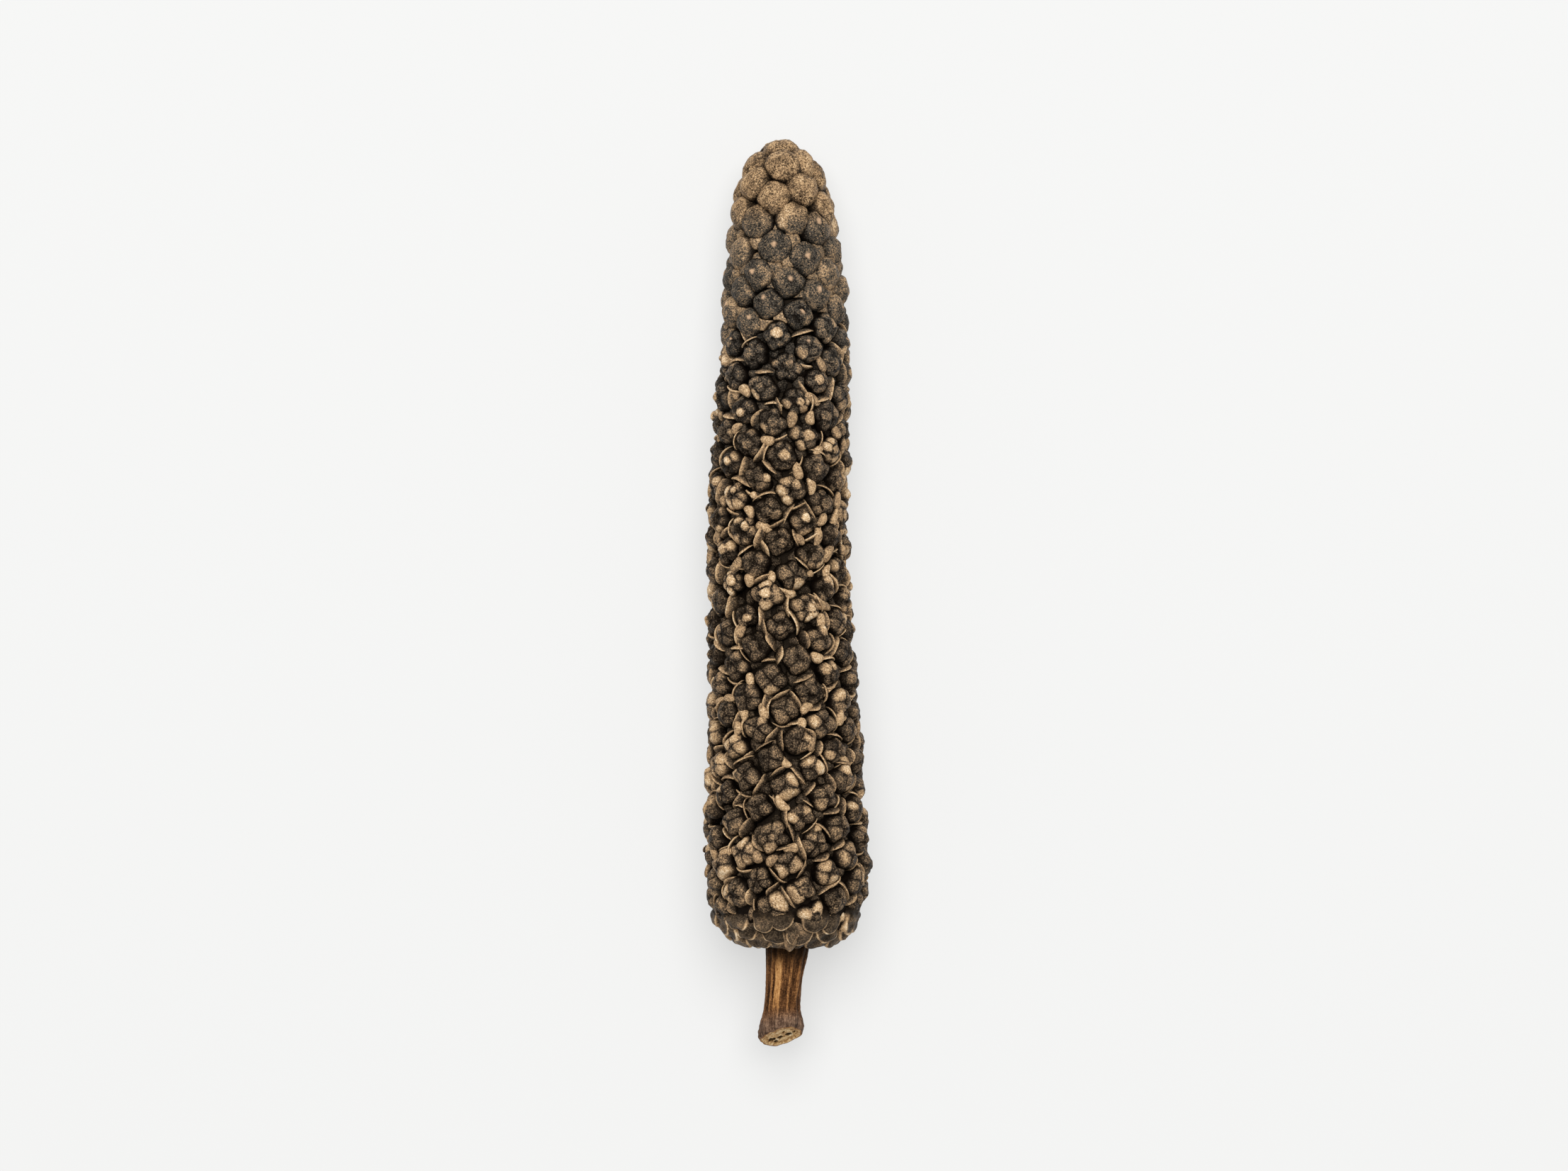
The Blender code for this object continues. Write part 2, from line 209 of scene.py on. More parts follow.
# How far each fruit's top is under the outline. The last ones are under the hanging scales.
TOP_DEPTHS = TOPS * at_stops(TO_STALK, FRUIT_HEIGHTS) * MM
TOP_DEPTHS = TOP_DEPTHS + 0.3 * MM * ease(43, 43.5, TO_STALK)

# The fine form of the fruits
# The widest that one gets, and its share of the way to its neighbours
FRUIT_RADIUS = 1 * MM
FRUIT_FILL = [(0, 1.06), (1, 1), (3, 0.95), (7, 0.93), (11, 0.91), (15, 0.87), (35, 0.87), (44, 0.88)]
CELL_ROUNDNESS = 7
FRUIT_HALF_HEIGHT = [(0, 0.72), (3, 0.78), (9, 0.86), (14, 0.92), (44, 0.94)]
HALVES = at_stops(TO_STALK, FRUIT_HALF_HEIGHT) * MM
UNDER_HALF_HEIGHT = 0.55 * MM
LOWEST_POLAR = math.radians(118)
# A fruit's width follows this power of the sine of the polar angle.
SIDE_POWER = 0.92
# How far out the dome goes and a scar rises on it, as shares of its size.
DOME_SCALE = 1.04
SCAR_RISE = 0.035
NEAR = 3.4 * MM
LOBES = 7
# The height of a lobe that isn't there.
NO_LOBE = -9
# Beyond this distance most fruits have petals in place of knobs.
PETALS_FROM = 27
# How deep it is between lobes, as a share of the size
LOBE_DEPTH = [(12, 0.38), (24, 0.38), (32, 0.35), (44, 0.33)]
PALE_TONES = (0.55, 0.9)
DARK_TONES = (0.02, 0.32)


def circle(count):
    """Turns evenly round a circle."""
    return FULL * np.arange(count) / count


# The second look, dark, is how much painted shade a point has.
def looks_of(tone, dark, smooth, second=0):
    return np.stack(np.broadcast_arrays(tone, dark, smooth, second), -1)


def reaches(segments):
    """How far each fruit goes towards its neighbours, in each direction round it."""
    turns = circle(segments)
    found = np.zeros((COUNT, segments))
    for number in range(COUNT):
        away = SEATS - SEATS[number]
        distance = np.linalg.norm(away, axis=1)
        close = (distance > 0) & (distance < NEAR) & (OUT @ OUT[number] > 0)
        bearing = np.arctan2(away[close] @ ABOUT[number], away[close] @ DOWN[number])
        facing = np.maximum(np.cos(turns[:, None] - bearing), 0) * 2 / distance[close]
        found[number] = (facing ** CELL_ROUNDNESS).sum(axis=1) ** (-1 / CELL_ROUNDNESS)
    fill = at_stops(TO_STALK, FRUIT_FILL)[:, None]
    return np.minimum(found * fill, FRUIT_RADIUS) * SIZES[:, None]


def grid_directions(polars, segments):
    """Polar angle and turn of each point of a round body, from its top down."""
    polar, turn = np.repeat(polars, segments), np.tile(circle(segments), len(polars))
    return np.concatenate([[0], polar, [math.pi]]), np.concatenate([[0], turn, [0]])


def grid_triangles(rings, segments):
    """The triangles of a closed body of rings between a first and a last point."""
    k = np.arange(segments)
    after = (k + 1) % segments
    top = np.stack([0 * k, 1 + k, 1 + after], 1)
    bands = []
    for ring in range(rings - 1):
        upper, lower = 1 + ring * segments, 1 + (ring + 1) * segments
        bands.append(np.stack([upper + k, lower + k, lower + after], 1))
        bands.append(np.stack([upper + k, lower + after, upper + after], 1))
    last = 1 + (rings - 1) * segments
    bottom = np.stack([last + k, 0 * k + last + segments, last + after], 1)
    return np.concatenate([top, *bands, bottom])


def closed_body(rings, looks, ends, end_looks):
    """A closed body from rings of points between two end points."""
    points = np.vstack([ends[0], rings.reshape(-1, 3), ends[1]])
    looks = np.vstack([end_looks[0], looks.reshape(-1, 4), end_looks[1]])
    return points, looks, grid_triangles(*rings.shape[:2])


def closed_strip(rings, looks):
    """The same, with end points in the middle of its first and last rings."""
    return closed_body(rings, looks, rings[[0, -1]].mean(axis=1), looks[[0, -1]].mean(axis=1))


def unit(polar, turn):
    """Directions at these polar angles and turns."""
    return np.stack([np.sin(polar) * np.cos(turn), np.sin(polar) * np.sin(turn),
                     np.cos(polar) + 0 * turn], -1)


def ripple(points, wavelength, rng, waves=12):
    """Smooth irregular relief at points in space, about from -1 to 1."""
    total = np.zeros(points.shape[:-1])
    for _ in range(waves):
        direction = rng.normal(size=3)
        direction *= FULL / wavelength * rng.uniform(0.7, 1.4) / np.linalg.norm(direction)
        total += np.sin(points @ direction + rng.uniform(0, FULL))
    return total / math.sqrt(waves)


class Lobes:
    """The knobs or petals that each fruit has on its dome."""

    def __init__(self, rng):
        shape = (COUNT, LOBES)
        lower = TO_STALK > PETALS_FROM + rng.uniform(-5, 5, COUNT)
        number = np.where(lower, rng.integers(3, 6, COUNT), rng.integers(4, 7, COUNT))
        index, lower_shape = np.arange(LOBES), (lower.sum(), LOBES)
        polar = np.radians(rng.uniform(42, 62, shape))
        polar[lower] = np.radians(rng.uniform(38, 50, lower_shape))
        spread = FULL / number[:, None]
        turn = rng.uniform(0, FULL, COUNT)[:, None] + index * spread
        turn += rng.uniform(-0.22, 0.22, shape)
        across = 0.64 * spread * np.sin(polar) * rng.uniform(0.85, 1.15, shape)
        tall = rng.uniform(0.48, 0.76, shape)
        tall[lower] = polar[lower] * rng.uniform(0.9, 1.02, lower_shape)
        lift = rng.uniform(-0.25, 0.12, shape)
        lift[lower] = rng.uniform(-0.12, 0.08, lower_shape)
        # The last is a knob on top, which petalled fruits mostly lack.
        polar[:, -1] = np.radians(rng.uniform(0, 24, COUNT))
        across[:, -1] = tall[:, -1] = rng.uniform(0.34, 0.52, COUNT)
        lift[:, -1] = rng.uniform(-0.1, 0.15, COUNT)
        used = index < number[:, None]
        used[:, -1] = ~lower | (rng.random(COUNT) < 0.25)
        self.middle = unit(polar, turn)
        self.side = np.stack([-np.sin(turn), np.cos(turn), 0 * turn], -1)
        self.up = np.cross(self.middle, self.side)
        self.across, self.tall = across, tall
        self.lift = np.where(used, lift, NO_LOBE)
        self.flatness = np.where(lower, 1.3, 1.15)[:, None, None]
        tan_share = np.where(rng.random(COUNT) < np.where(lower, 0.16, 0.26), 0.8, 0.2)[:, None]
        pale = rng.random(shape) < tan_share
        self.tone = np.where(pale, rng.uniform(*PALE_TONES, shape), rng.uniform(*DARK_TONES, shape))
        # How strong the painted shade in the creases between lobes is.
        self.crease_shade_strength = np.where(lower, 0.45, 0.65)[:, None] + rng.uniform(0, 0.45, (COUNT, 1))

    def relief(self, which, directions):
        """Height of the highest lobe, how much painted shade falls in the crease at its edge, and its tone,
        for some fruits.
        """
        facing, side, up = (np.einsum("fkc,nc->fkn", axes[which], directions)
                            for axes in (self.middle, self.side, self.up))
        distance = (side / self.across[which][..., None]) ** 2 + (up / self.tall[which][..., None]) ** 2
        cap = np.sqrt(np.maximum(1 - distance ** self.flatness[which], 0))
        height = np.where((cap > 0) & (facing > 0), self.lift[which][..., None] + cap, NO_LOBE)
        order = np.sort(height, axis=1)
        best = np.argmax(height, axis=1)
        tone = np.take_along_axis(self.tone[which], best, axis=1)
        top = np.maximum(order[:, -1], 0)
        crease_shade = ease(0.17, 0, order[:, -1] - np.maximum(order[:, -2], 0))
        return top, crease_shade * self.crease_shade_strength[which], tone


class Fruit:
    """The numbers that every fruit has of its own."""

    def __init__(self, rng):
        self.lobed = ease(8.5, 12.5, TO_STALK + rng.uniform(-1.5, 1.5, COUNT))
        shallow = rng.random(COUNT) >= 0.88
        depth_share = np.where(shallow, 0.4, rng.uniform(0.7, 1, COUNT))
        self.relief = at_stops(TO_STALK, LOBE_DEPTH) * depth_share
        tip = ease(4.7, 4.1, TO_STALK)
        charcoal = ease(4.1, 4.7, TO_STALK) * ease(13.5, 9, TO_STALK)
        dark = (OUT[:COUNT, 2] > 0.62) | (rng.random(COUNT) < 0.3)
        self.tan = 0.43 + 0.08 * tip - 0.14 * charcoal * dark + rng.uniform(-0.04, 0.04, COUNT)
        # Painted light: one side of each is paler, mostly the tip's side, where the lamp is.
        self.painted_light_side = unit(np.radians(rng.uniform(55, 90, COUNT)), math.pi + rng.uniform(-1.6, 1.6, COUNT))
        self.painted_light_amount = charcoal * np.where(rng.random(COUNT) < 0.35, rng.uniform(0.12, 0.26, COUNT), 0.05)
        # The foot of a charcoal dome is brown.
        self.skirt = charcoal * rng.uniform(0, 0.12, COUNT)
        # A small pale scar on top, on the tip's side.
        self.scar = unit(np.radians(rng.uniform(2, 30, COUNT)),
                         math.pi + rng.uniform(-0.9, 0.9, COUNT))
        keeps = 0.75 * ease(4.4, 4.8, TO_STALK) * ease(15, 9, TO_STALK) > rng.random(COUNT)
        self.scar_size = np.where(keeps, rng.uniform(0.11, 0.21, COUNT), 0)
        self.base_seed = rng.integers(1 << 30)


def fruit_bodies(which, rings, segments, lobes, fruit):
    """Points, looks and triangles of these fruits."""
    polar, turn = grid_directions(np.linspace(0, LOWEST_POLAR, rings + 1)[1:], segments)
    direction = unit(polar, turn)
    rng = np.random.default_rng(fruit.base_seed + int(which[0]))
    reach_index = np.round(turn / FULL * segments).astype(int) % segments
    reach = reaches(segments)[which][:, reach_index]
    half = HALVES[which][:, None]
    top, crease_shade, tone = lobes.relief(which, direction)
    lobed = fruit.lobed[which][:, None]
    relief = fruit.relief[which][:, None] * lobed
    facing = np.clip((direction @ fruit.scar[which].T).T, -1, 1)
    scar_size = fruit.scar_size[which][:, None]
    scar = ease(0, 0.6, 1 - np.arccos(facing) / np.maximum(scar_size, 1e-6))
    scale = DOME_SCALE - relief * (1 - np.minimum(top, 1.12)) + SCAR_RISE * scar
    across = reach * np.sin(polar) ** SIDE_POWER * scale
    deep = np.where(np.cos(polar) > 0, half, UNDER_HALF_HEIGHT)
    rise = deep * np.cos(polar) * scale
    middle = -TOP_DEPTHS[which][:, None] - half + 0.02 * MM
    local = np.stack([across * np.cos(turn), across * np.sin(turn), middle + rise], -1)
    basis = np.stack([DOWN[which], ABOUT[which], OUT[which]], 1)
    seats = SEATS[which][:, None]
    points = seats + local @ basis
    swell = ripple(points, 0.75 * MM, rng) * 0.03 * MM + ripple(points, 0.3 * MM, rng) * 0.014 * MM
    outward = points - (seats + middle[..., None] * OUT[which][:, None])
    outward /= np.maximum(np.linalg.norm(outward, axis=-1, keepdims=True), 1e-9)
    points = points + outward * swell[..., None]
    # Painted light on the side that faces the lamp.
    side = np.einsum("fc,nc->fn", fruit.painted_light_side[which], direction)
    patch = ripple(points, 0.9 * MM, rng)
    pale = fruit.painted_light_amount[which][:, None] * ease(0.25, 0.85, side)
    tan = fruit.tan[which][:, None] + pale + 0.07 * patch
    # Painted highlight: a lobe's tone rises towards its top, and the creases between lobes get painted shade.
    high = ease(0.45, 1.05, top)
    knob = 0.11 + 0.05 * patch + (0.15 + 0.7 * tone) * high
    tan = tan * (1 - lobed) + lobed * knob - 0.36 * crease_shade * lobed
    # Painted shade darkens each fruit's flanks; those on the two sides are lit by the floor too, so they get
    # less of it.
    beside = ease(0.5, 0.15, np.abs(OUT[which, 2]))[:, None]
    painted_flank_shade = ease(0.95 - 0.25 * lobed, 1.45 - 0.15 * lobed, polar)
    tan = tan - (0.3 + 0.06 * lobed) * painted_flank_shade * (1 - 0.5 * beside)
    tan = tan + fruit.skirt[which][:, None] * ease(0.55, 1.15, polar + 0.18 * patch)
    # Painted shade where the fruit lies deep under the outline, and along the creases between its lobes.
    under = -(middle + rise + TOP_DEPTHS[which][:, None])
    sunk = ease((0.28 - 0.1 * lobed) * MM, (0.72 - 0.16 * lobed) * MM, under)
    sunk = np.maximum(sunk, 0.85 * crease_shade * lobed * ease(1.7, 1, polar)) * (1 - 0.45 * beside)
    smooth = 0.3 * lobed * tone * high
    looks = looks_of(tan, sunk, smooth, scar * (scar_size > 0))
    shift = np.arange(len(which))[:, None, None] * len(direction)
    return points, looks, (grid_triangles(rings, segments) + shift).reshape(-1, 3)


def new_object(name, data):
    item = bpy.data.objects.new(name, data)
    bpy.context.scene.collection.objects.link(item)
    return item


class Batch:
    """Closed bodies gathered into one piece."""

    def __init__(self):
        self.points, self.looks, self.triangles, self.size = [], [], [], 0

    def add(self, points, looks, triangles):
        points = points.reshape(-1, 3)
        self.points.append(points)
        self.looks.append(looks.reshape(-1, 4))
        self.triangles.append(triangles + self.size)
        self.size += len(points)

    def make(self, name, material, slot="dried_fruit", node="spike"):
        """One smooth-shaded piece, which rides on the body and stands for a node."""
        points, triangles = np.concatenate(self.points), np.concatenate(self.triangles)
        points[:, 2] = np.maximum(points[:, 2], 0)
        looks = np.clip(np.concatenate(self.looks), 0, 4)
        mesh = bpy.data.meshes.new(name)
        mesh.from_pydata(points, [], triangles)
        mesh.validate()
        mesh.shade_smooth()
        colours = mesh.attributes.new("looks", "FLOAT_COLOR", "POINT")
        colours.data.foreach_set("color", looks.ravel().astype(np.float32))
        mesh.materials.append(material)
        piece = new_object(name, mesh)
        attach(piece, "root")
        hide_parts(node)


# Scales round the fruits
SHELL_STEPS = 14
SHELL_LAYERS = 5
SHELL_FOOT = math.radians(96)
SHELL_FLARE = (-0.02, 0.05)
SHELL_SHARPNESS = [0.4, 0.6]
LAST_SHELL = 42.6
# Least and most of a petal and a crescent: half of the arc, polar angle of the rim in degrees,
# gap to the fruit, thickness, tone
PETAL = [(0.5, 0.85), (44, 62), (0.05, 0.11), (0.1, 0.2), (0.42, 0.58)]
CRESCENT = [(0.55, 1), (46, 64), (0.06, 0.12), (0.11, 0.21), (0.48, 0.64)]


def up_and_down(levels):
    """Levels up the outside of a thin body and down its inside, with 1 for the outside."""
    return np.concatenate([levels, levels[::-1]]), np.repeat([1, 0], len(levels))


def shell_body(number, reach, turn, half_arc, high, gap, flare, thick, sharp, tone):
    """A thin curved scale that wraps one side of a fruit, with a rounded free rim."""
    t = np.linspace(-1, 1, SHELL_STEPS + 1)[:, None]
    profile = (1 - np.abs(t) ** 2.2) ** sharp
    height, outer = up_and_down(np.sin(np.linspace(0, 1, SHELL_LAYERS) * math.pi / 2))
    polar = SHELL_FOOT - (SHELL_FOOT - high) * profile * height
    turns = turn + t * half_arc + 0 * polar
    body = thick * profile ** 0.7 * np.sqrt(1 - 0.93 * height ** 4)
    centre = gap + flare * height ** 2 * profile + thick / 2
    offset = centre + (outer - 0.5) * body
    index = (turns / FULL * reach.shape[1]).astype(int) % reach.shape[1]
    round_reach = 0.5 * reach[number][index] + 0.5 * reach[number].mean()
    across = (round_reach + offset) * np.sin(polar) ** SIDE_POWER
    rise = (HALVES[number] + offset) * np.cos(polar)
    middle = -TOP_DEPTHS[number] - HALVES[number]
    local = np.stack([across * np.cos(turns), across * np.sin(turns), middle + rise], -1)
    points = SEATS[number] + local @ np.stack([DOWN[number], ABOUT[number], OUT[number]])
    # Painted shade where it lies deep and low on the scale, and a paler free rim, which is partly its own
    # colour and partly painted highlight.
    sunk = ease(0.55 * MM, 1.05 * MM, -(middle + rise))
    sunk = np.maximum(sunk, 0.9 * ease(0.85, 0.35, height))
    rim = ease(0.8, 0.97, height) * ease(0, 0.3, profile)
    return closed_strip(points, looks_of(tone - 0.2 + 0.38 * rim, sunk, 0.3 + 0.2 * rim))


def add_shells(batch, rng):
    """Crescents beside the knobbly fruits, and petals round the lower ones."""
    reach = reaches(48)
    for number, along in enumerate(TO_STALK):
        if rng.random() > ease(9, 14, along) or along > LAST_SHELL:
            continue
        petals = rng.random() < ease(24, 33, along)
        count = 1 + int(rng.random() < 0.6) + int(petals and rng.random() < 0.5)
        turn = SCALES[number][0] + rng.uniform(0, FULL)
        arcs, rims, gaps, thicknesses, tones = PETAL if petals else CRESCENT
        for _ in range(count):
            batch.add(*shell_body(
                number, reach, turn, rng.uniform(*arcs), math.radians(rng.uniform(*rims)),
                rng.uniform(*gaps) * MM, rng.uniform(*SHELL_FLARE) * MM,
                rng.uniform(*thicknesses) * MM, rng.choice(SHELL_SHARPNESS), rng.uniform(*tones)))
            turn += FULL / count + rng.uniform(-0.5, 0.5)


# Chips and beans between the fruits
CHIP_RINGS = 5
CHIP_SIDES = 24
# How far a chip keeps from the seats of the fruits round it.
CHIP_CLEARANCE = 0.92 * MM
# Chances of a chip and of a pale bean where three fruits meet
CHIP_CHANCE = [(4, 0), (5, 0.75), (9, 0.75), (12, 0.15), (14, 0)]
BEAN_CHANCE = [(10, 0), (16, 0.44), (24, 0.44), (32, 0.24), (41, 0.12), (42, 0)]
SMALL_BEAN_CHANCE = 0.08
DARK_BEANS_FROM = 11
BEAN_RINGS, BEAN_SIDES = 10, 14
DARK_BEAN_RINGS, DARK_BEAN_SIDES = 5, 9


def bean_body(spot, basis, length, width, tall, bend, tone, rings=BEAN_RINGS, segments=BEAN_SIDES):
    """A plump bent grain: its long way, across and up follow the basis."""
    polar, turn = grid_directions(np.linspace(0, math.pi, rings + 2)[1:-1], segments)
    long = length / 2 * np.cos(polar)
    swell = np.sin(polar) ** 0.8 * (1 + 0.18 * np.cos(polar))
    side = width / 2 * swell * np.cos(turn) + bend * (np.cos(polar) ** 2 - 0.5)
    up = tall / 2 * swell * np.sin(turn)
    points = spot + np.stack([long, side, up], -1) @ basis
    high = up / tall + 0.5
    # Painted shade: the lower side is darker in tone and in the second look, and the top a little paler as
    # painted highlight.
    looks = looks_of(tone + 0.12 - 0.44 * ease(0.8, 0.3, high), 0.9 * ease(0.6, 0.2, high), 0.4)
    return points, looks, grid_triangles(rings, segments)


def chip_body(spot, basis, away, arm, rise, tone):
    """A pointed chip in the gap between fruits whose seats are this far away."""
    turn = circle(CHIP_SIDES)
    reach = np.full(CHIP_SIDES, arm)
    bearings = np.arctan2(away @ basis[1], away @ basis[0])
    for bearing, distance in zip(bearings, np.linalg.norm(away, axis=1)):
        facing = distance * np.cos(turn - bearing)
        inner = facing ** 2 - distance ** 2 + CHIP_CLEARANCE ** 2
        hit = np.maximum(facing - np.sqrt(np.maximum(inner, 0)), 0.05 * MM)
        reach = np.where((inner > 0) & (facing > 0), np.minimum(reach, hit), reach)
    steps = np.linspace(0, 1, CHIP_RINGS + 1)[1:]
    share = np.append(steps, 0.9)
    height = np.append(rise * (1 - steps ** 1.6), -0.5 * MM)
    across = share[:, None] * reach[None]
    lift = height[:, None] + 0 * across
    local = np.stack([across * np.cos(turn), across * np.sin(turn), lift], -1)
    shade = np.append(steps ** 2 * 0.35, 0.9)[:, None]
    edge = np.append(ease(0.6, 0.9, steps), 0)[:, None]
    looks = looks_of(tone + 0.1 * edge + 0 * turn, shade, 0.4 * edge)
    ends = spot + np.array([[0, 0, rise], [0, 0, -0.55 * MM]]) @ basis
    return closed_body(spot + local @ basis, looks, ends, [(tone, 0, 0, 0), (tone, 1, 0, 0)])


def gap_frame(triple):
    """The middle between three fruits, and the directions down, about and out there."""
    out = OUT[triple].mean(axis=0)
    out /= np.linalg.norm(out)
    down = DOWN[triple].mean(axis=0)
    down -= out * (down @ out)
    down /= np.linalg.norm(down)
    return SEATS[triple].mean(axis=0), down, np.cross(out, down), out


def dark_bean(middle, down, about, out, rng):
    """A grain that lies deep in a gap, its dark tone painted shade."""
    turn = rng.uniform(0, FULL)
    long = math.cos(turn) * down + math.sin(turn) * about
    return bean_body(
        middle - out * rng.uniform(0.8, 1) * MM, np.stack([long, np.cross(out, long), out]),
        rng.uniform(0.7, 1.1) * MM, rng.uniform(0.55, 0.8) * MM, 0.7 * MM, 0,
        rng.uniform(0, 0.16), DARK_BEAN_RINGS, DARK_BEAN_SIDES)


def pale_bean(middle, down, about, out, rng):
    """A plump grain high up in a gap, tilted a little."""
    turn = rng.uniform(0, FULL)
    tilt = rng.uniform(-0.35, 0.35)
    long = (math.cos(turn) * down + math.sin(turn) * about) * math.cos(tilt) + out * math.sin(tilt)
    side = np.cross(out, long)
    side /= np.linalg.norm(side)
    small = rng.random() < SMALL_BEAN_CHANCE
    length = rng.uniform(0.34, 0.5) if small else rng.uniform(0.75, 1.15)
    width = length if small else rng.uniform(0.46, 0.62)
    return bean_body(
        middle - out * rng.uniform(0.28, 0.54) * MM, np.stack([long, side, np.cross(long, side)]),
        length * MM, width * MM, width * 0.9 * MM, rng.uniform(0, 0.16) * MM * (not small),
        rng.uniform(0.42, 0.64))


def add_fillers(chips, beans, rng):
    """Where three fruits meet: chips near the tip, and dark and pale beans further down."""
    for triple in TRIPLES:
        triple = list(triple)
        if max(triple) >= COUNT:
            continue
        along = ALONG[triple].mean() / MM
        middle, down, about, out = gap_frame(triple)
        wants_chip = rng.random() < at_stops(along, CHIP_CHANCE)
        wants_bean = rng.random() < at_stops(along, BEAN_CHANCE)
        if along > DARK_BEANS_FROM:
            beans.add(*dark_bean(middle, down, about, out, rng))
        if wants_bean:
            beans.add(*pale_bean(middle, down, about, out, rng))
        elif wants_chip:
            chips.add(*chip_body(
                middle - out * rng.uniform(0.34, 0.52) * MM, np.stack([down, about, out]),
                SEATS[triple] - middle, rng.uniform(0.36, 0.58) * MM, rng.uniform(0.05, 0.18) * MM,
                rng.uniform(0.44, 0.6)))


# The core under the fruits
CORE_DEPTH = 0.95 * MM
# Its share of that depth where so much of the outline is left
CORE_DEPTH_SHARE = [(2, 0.18), (4.4, 1)]
CORE_FIRST_ROW = 30
CORE_RINGS = 70
CORE_SIDES = 64
# The looks of a point in full painted shade
FULL_PAINTED_SHADE = [0.1, 1, 0, 0]


def add_core(batch):
    """The body that the fruits stand on, closed at both ends, all in painted shade."""
    rows = np.linspace(CORE_FIRST_ROW, len(ROWS) - 1, CORE_RINGS)
    left = LENGTH_AT_ROW[-1] - np.interp(rows, ROW_NUMBERS, LENGTH_AT_ROW)
    depth = at_stops(left / MM, CORE_DEPTH_SHARE) * CORE_DEPTH
    points, _, _ = on_outline(rows[:, None], circle(CORE_SIDES), -depth[:, None])
    batch.add(*closed_strip(points, np.tile(FULL_PAINTED_SHADE, (CORE_RINGS, CORE_SIDES, 1))))


# The hanging scales round the stalk
# Rows of scales on the spike's end: how many, the length of outline left at their base and at
# their tips, half their width, their height over the outline
COLLAR_ROWS = [
    (17, 2.9, 1.75, 0.78, -0.28), (14, 2.4, 0.95, 0.84, -0.28), (11, 1.7, 0.12, 0.84, -0.26),
    (9, 0.8, -0.66, 0.66, -0.28),
]
COLLAR_FROM = 4.4
# The free edge is between these, past the outline's end.
COLLAR_EDGE = (-0.8, -0.35)
# The height of the bed under them, where so much of the outline is left
COLLAR_BED = [(0, -0.3), (2.2, -0.3), (2.7, -0.6), (3.3, -1), (4.4, -1.05)]
# Depths of the rings inside the free edge, and of the point that closes it
COLLAR_INNER = (0.08, 0.3, 0.55)
COLLAR_CLOSES = 0.62 * MM
COLLAR_RINGS = 100
COLLAR_SIDES = 440
# A long leaf over the top of the stalk, with the length of outline left at its base and tip.
LEAF_ANGLE = 0.06
LEAF_BASE = 1.8 * MM
LEAF_TIP = -0.3 * MM
LEAF_HALF_WIDTH = 0.46 * MM
LEAF_LIFT = 0.1 * MM
LEAF_THICK = 0.09 * MM
LEAF_RADIUS = 1.5 * MM
LEAF_TONE = 0.48
LEAF_STEPS = 18
LEAF_LAYERS = 10


def row_where(left):
    """The number of the outline's row where this much of its length is left."""
    return np.interp(LENGTH_AT_ROW[-1] - np.maximum(left, 0), LENGTH_AT_ROW, ROW_NUMBERS)


def radius_where(left):
    return np.interp(row_where(left), ROW_NUMBERS, ROWS[:, 1])


def round_end(reach, angle, past):
    """Points round the axis at this reach, so far past the spike's end."""
    x, z = axis_at(SPIKE_END)
    return np.stack([x + reach * np.sin(angle), TIP_Y - SPIKE_END - past, z + reach * np.cos(angle)], -1)


def collar_spot(left, angle, height):
    """Points where this much of the outline is left, and beyond its end inward to the stalk."""
    spot, _, _ = on_outline(row_where(left), angle, height)
    return np.where((left < 0)[..., None], round_end(ROWS[-1, 1] + left, angle, height), spot)


def leaf_spot(left, angle, height):
    """Points where this much of the outline is left, and beyond its end along the stalk."""
    spot, _, _ = on_outline(row_where(left), angle, height)
    reach = np.maximum(ROWS[-1, 1] + np.minimum(left, 0) * 0.75, LEAF_RADIUS) + height
    return np.where((left < 0)[..., None], round_end(reach, angle, -0.85 * left), spot)


def add_leaf(batch, rng):
    """One thin leaf that lies on the spike's end and points to the stalk."""
    t = np.linspace(-1, 1, LEAF_STEPS + 1)[:, None]
    share, outer = up_and_down(np.linspace(0, 1, LEAF_LAYERS))
    profile = (1 - np.abs(t) ** 1.3) ** 0.9
    left = LEAF_BASE - (LEAF_BASE - LEAF_TIP) * (0.08 + 0.92 * profile) * share
    turns = t * LEAF_HALF_WIDTH / np.maximum(radius_where(left), LEAF_RADIUS) * (1 - 0.15 * share)
    turns = LEAF_ANGLE + turns
    crown = 0.24 * MM * (1 - t ** 2) * ease(1.3, 0.5, share) + 0.08 * MM * share ** 2
    buried = 0.5 * MM * ease(0.6, 0, share)
    lift = LEAF_LIFT + crown - buried - (1 - outer) * LEAF_THICK
    rumple = ripple(leaf_spot(left, turns, 0 * left), 0.7 * MM, rng)
    points = leaf_spot(left, turns, lift + 0.07 * MM * rumple)
    rim = ease(0.86, 0.97, share)
    ridge = np.exp(-(t / 0.1) ** 2) * ease(0.35, 0.9, share)
    # Painted shade on its underside and near its buried base.
    sunk = np.maximum(0.7 * (1 - outer), 0.8 * ease(0.5, 0.15, share)) * (1 - rim)
    tone = LEAF_TONE + 0.4 * rim + 0.3 * ridge + 0.05 * rumple
    batch.add(*closed_strip(points, looks_of(tone, sunk, 0.7 + 0.2 * rim)))


def turn_from(middle, angle):
    """The turns from middle to these angles, the short way round."""
    return np.angle(np.exp(1j * (angle - middle)))


def collar_scales(rng):
    """Angle, base, tip, half width and height of each scale, row after row."""
    scales = []
    for layer, (count, base, tip, half_width, rise) in enumerate(COLLAR_ROWS):
        for k in range(count):
            middle = FULL * (k + 0.5 * layer) / count + rng.uniform(-0.12, 0.12)
            scales.append((
                middle, base + rng.uniform(-0.2, 0.2), tip + rng.uniform(-0.3, 0.3),
                half_width * rng.uniform(0.85, 1.15), rise))
    return scales


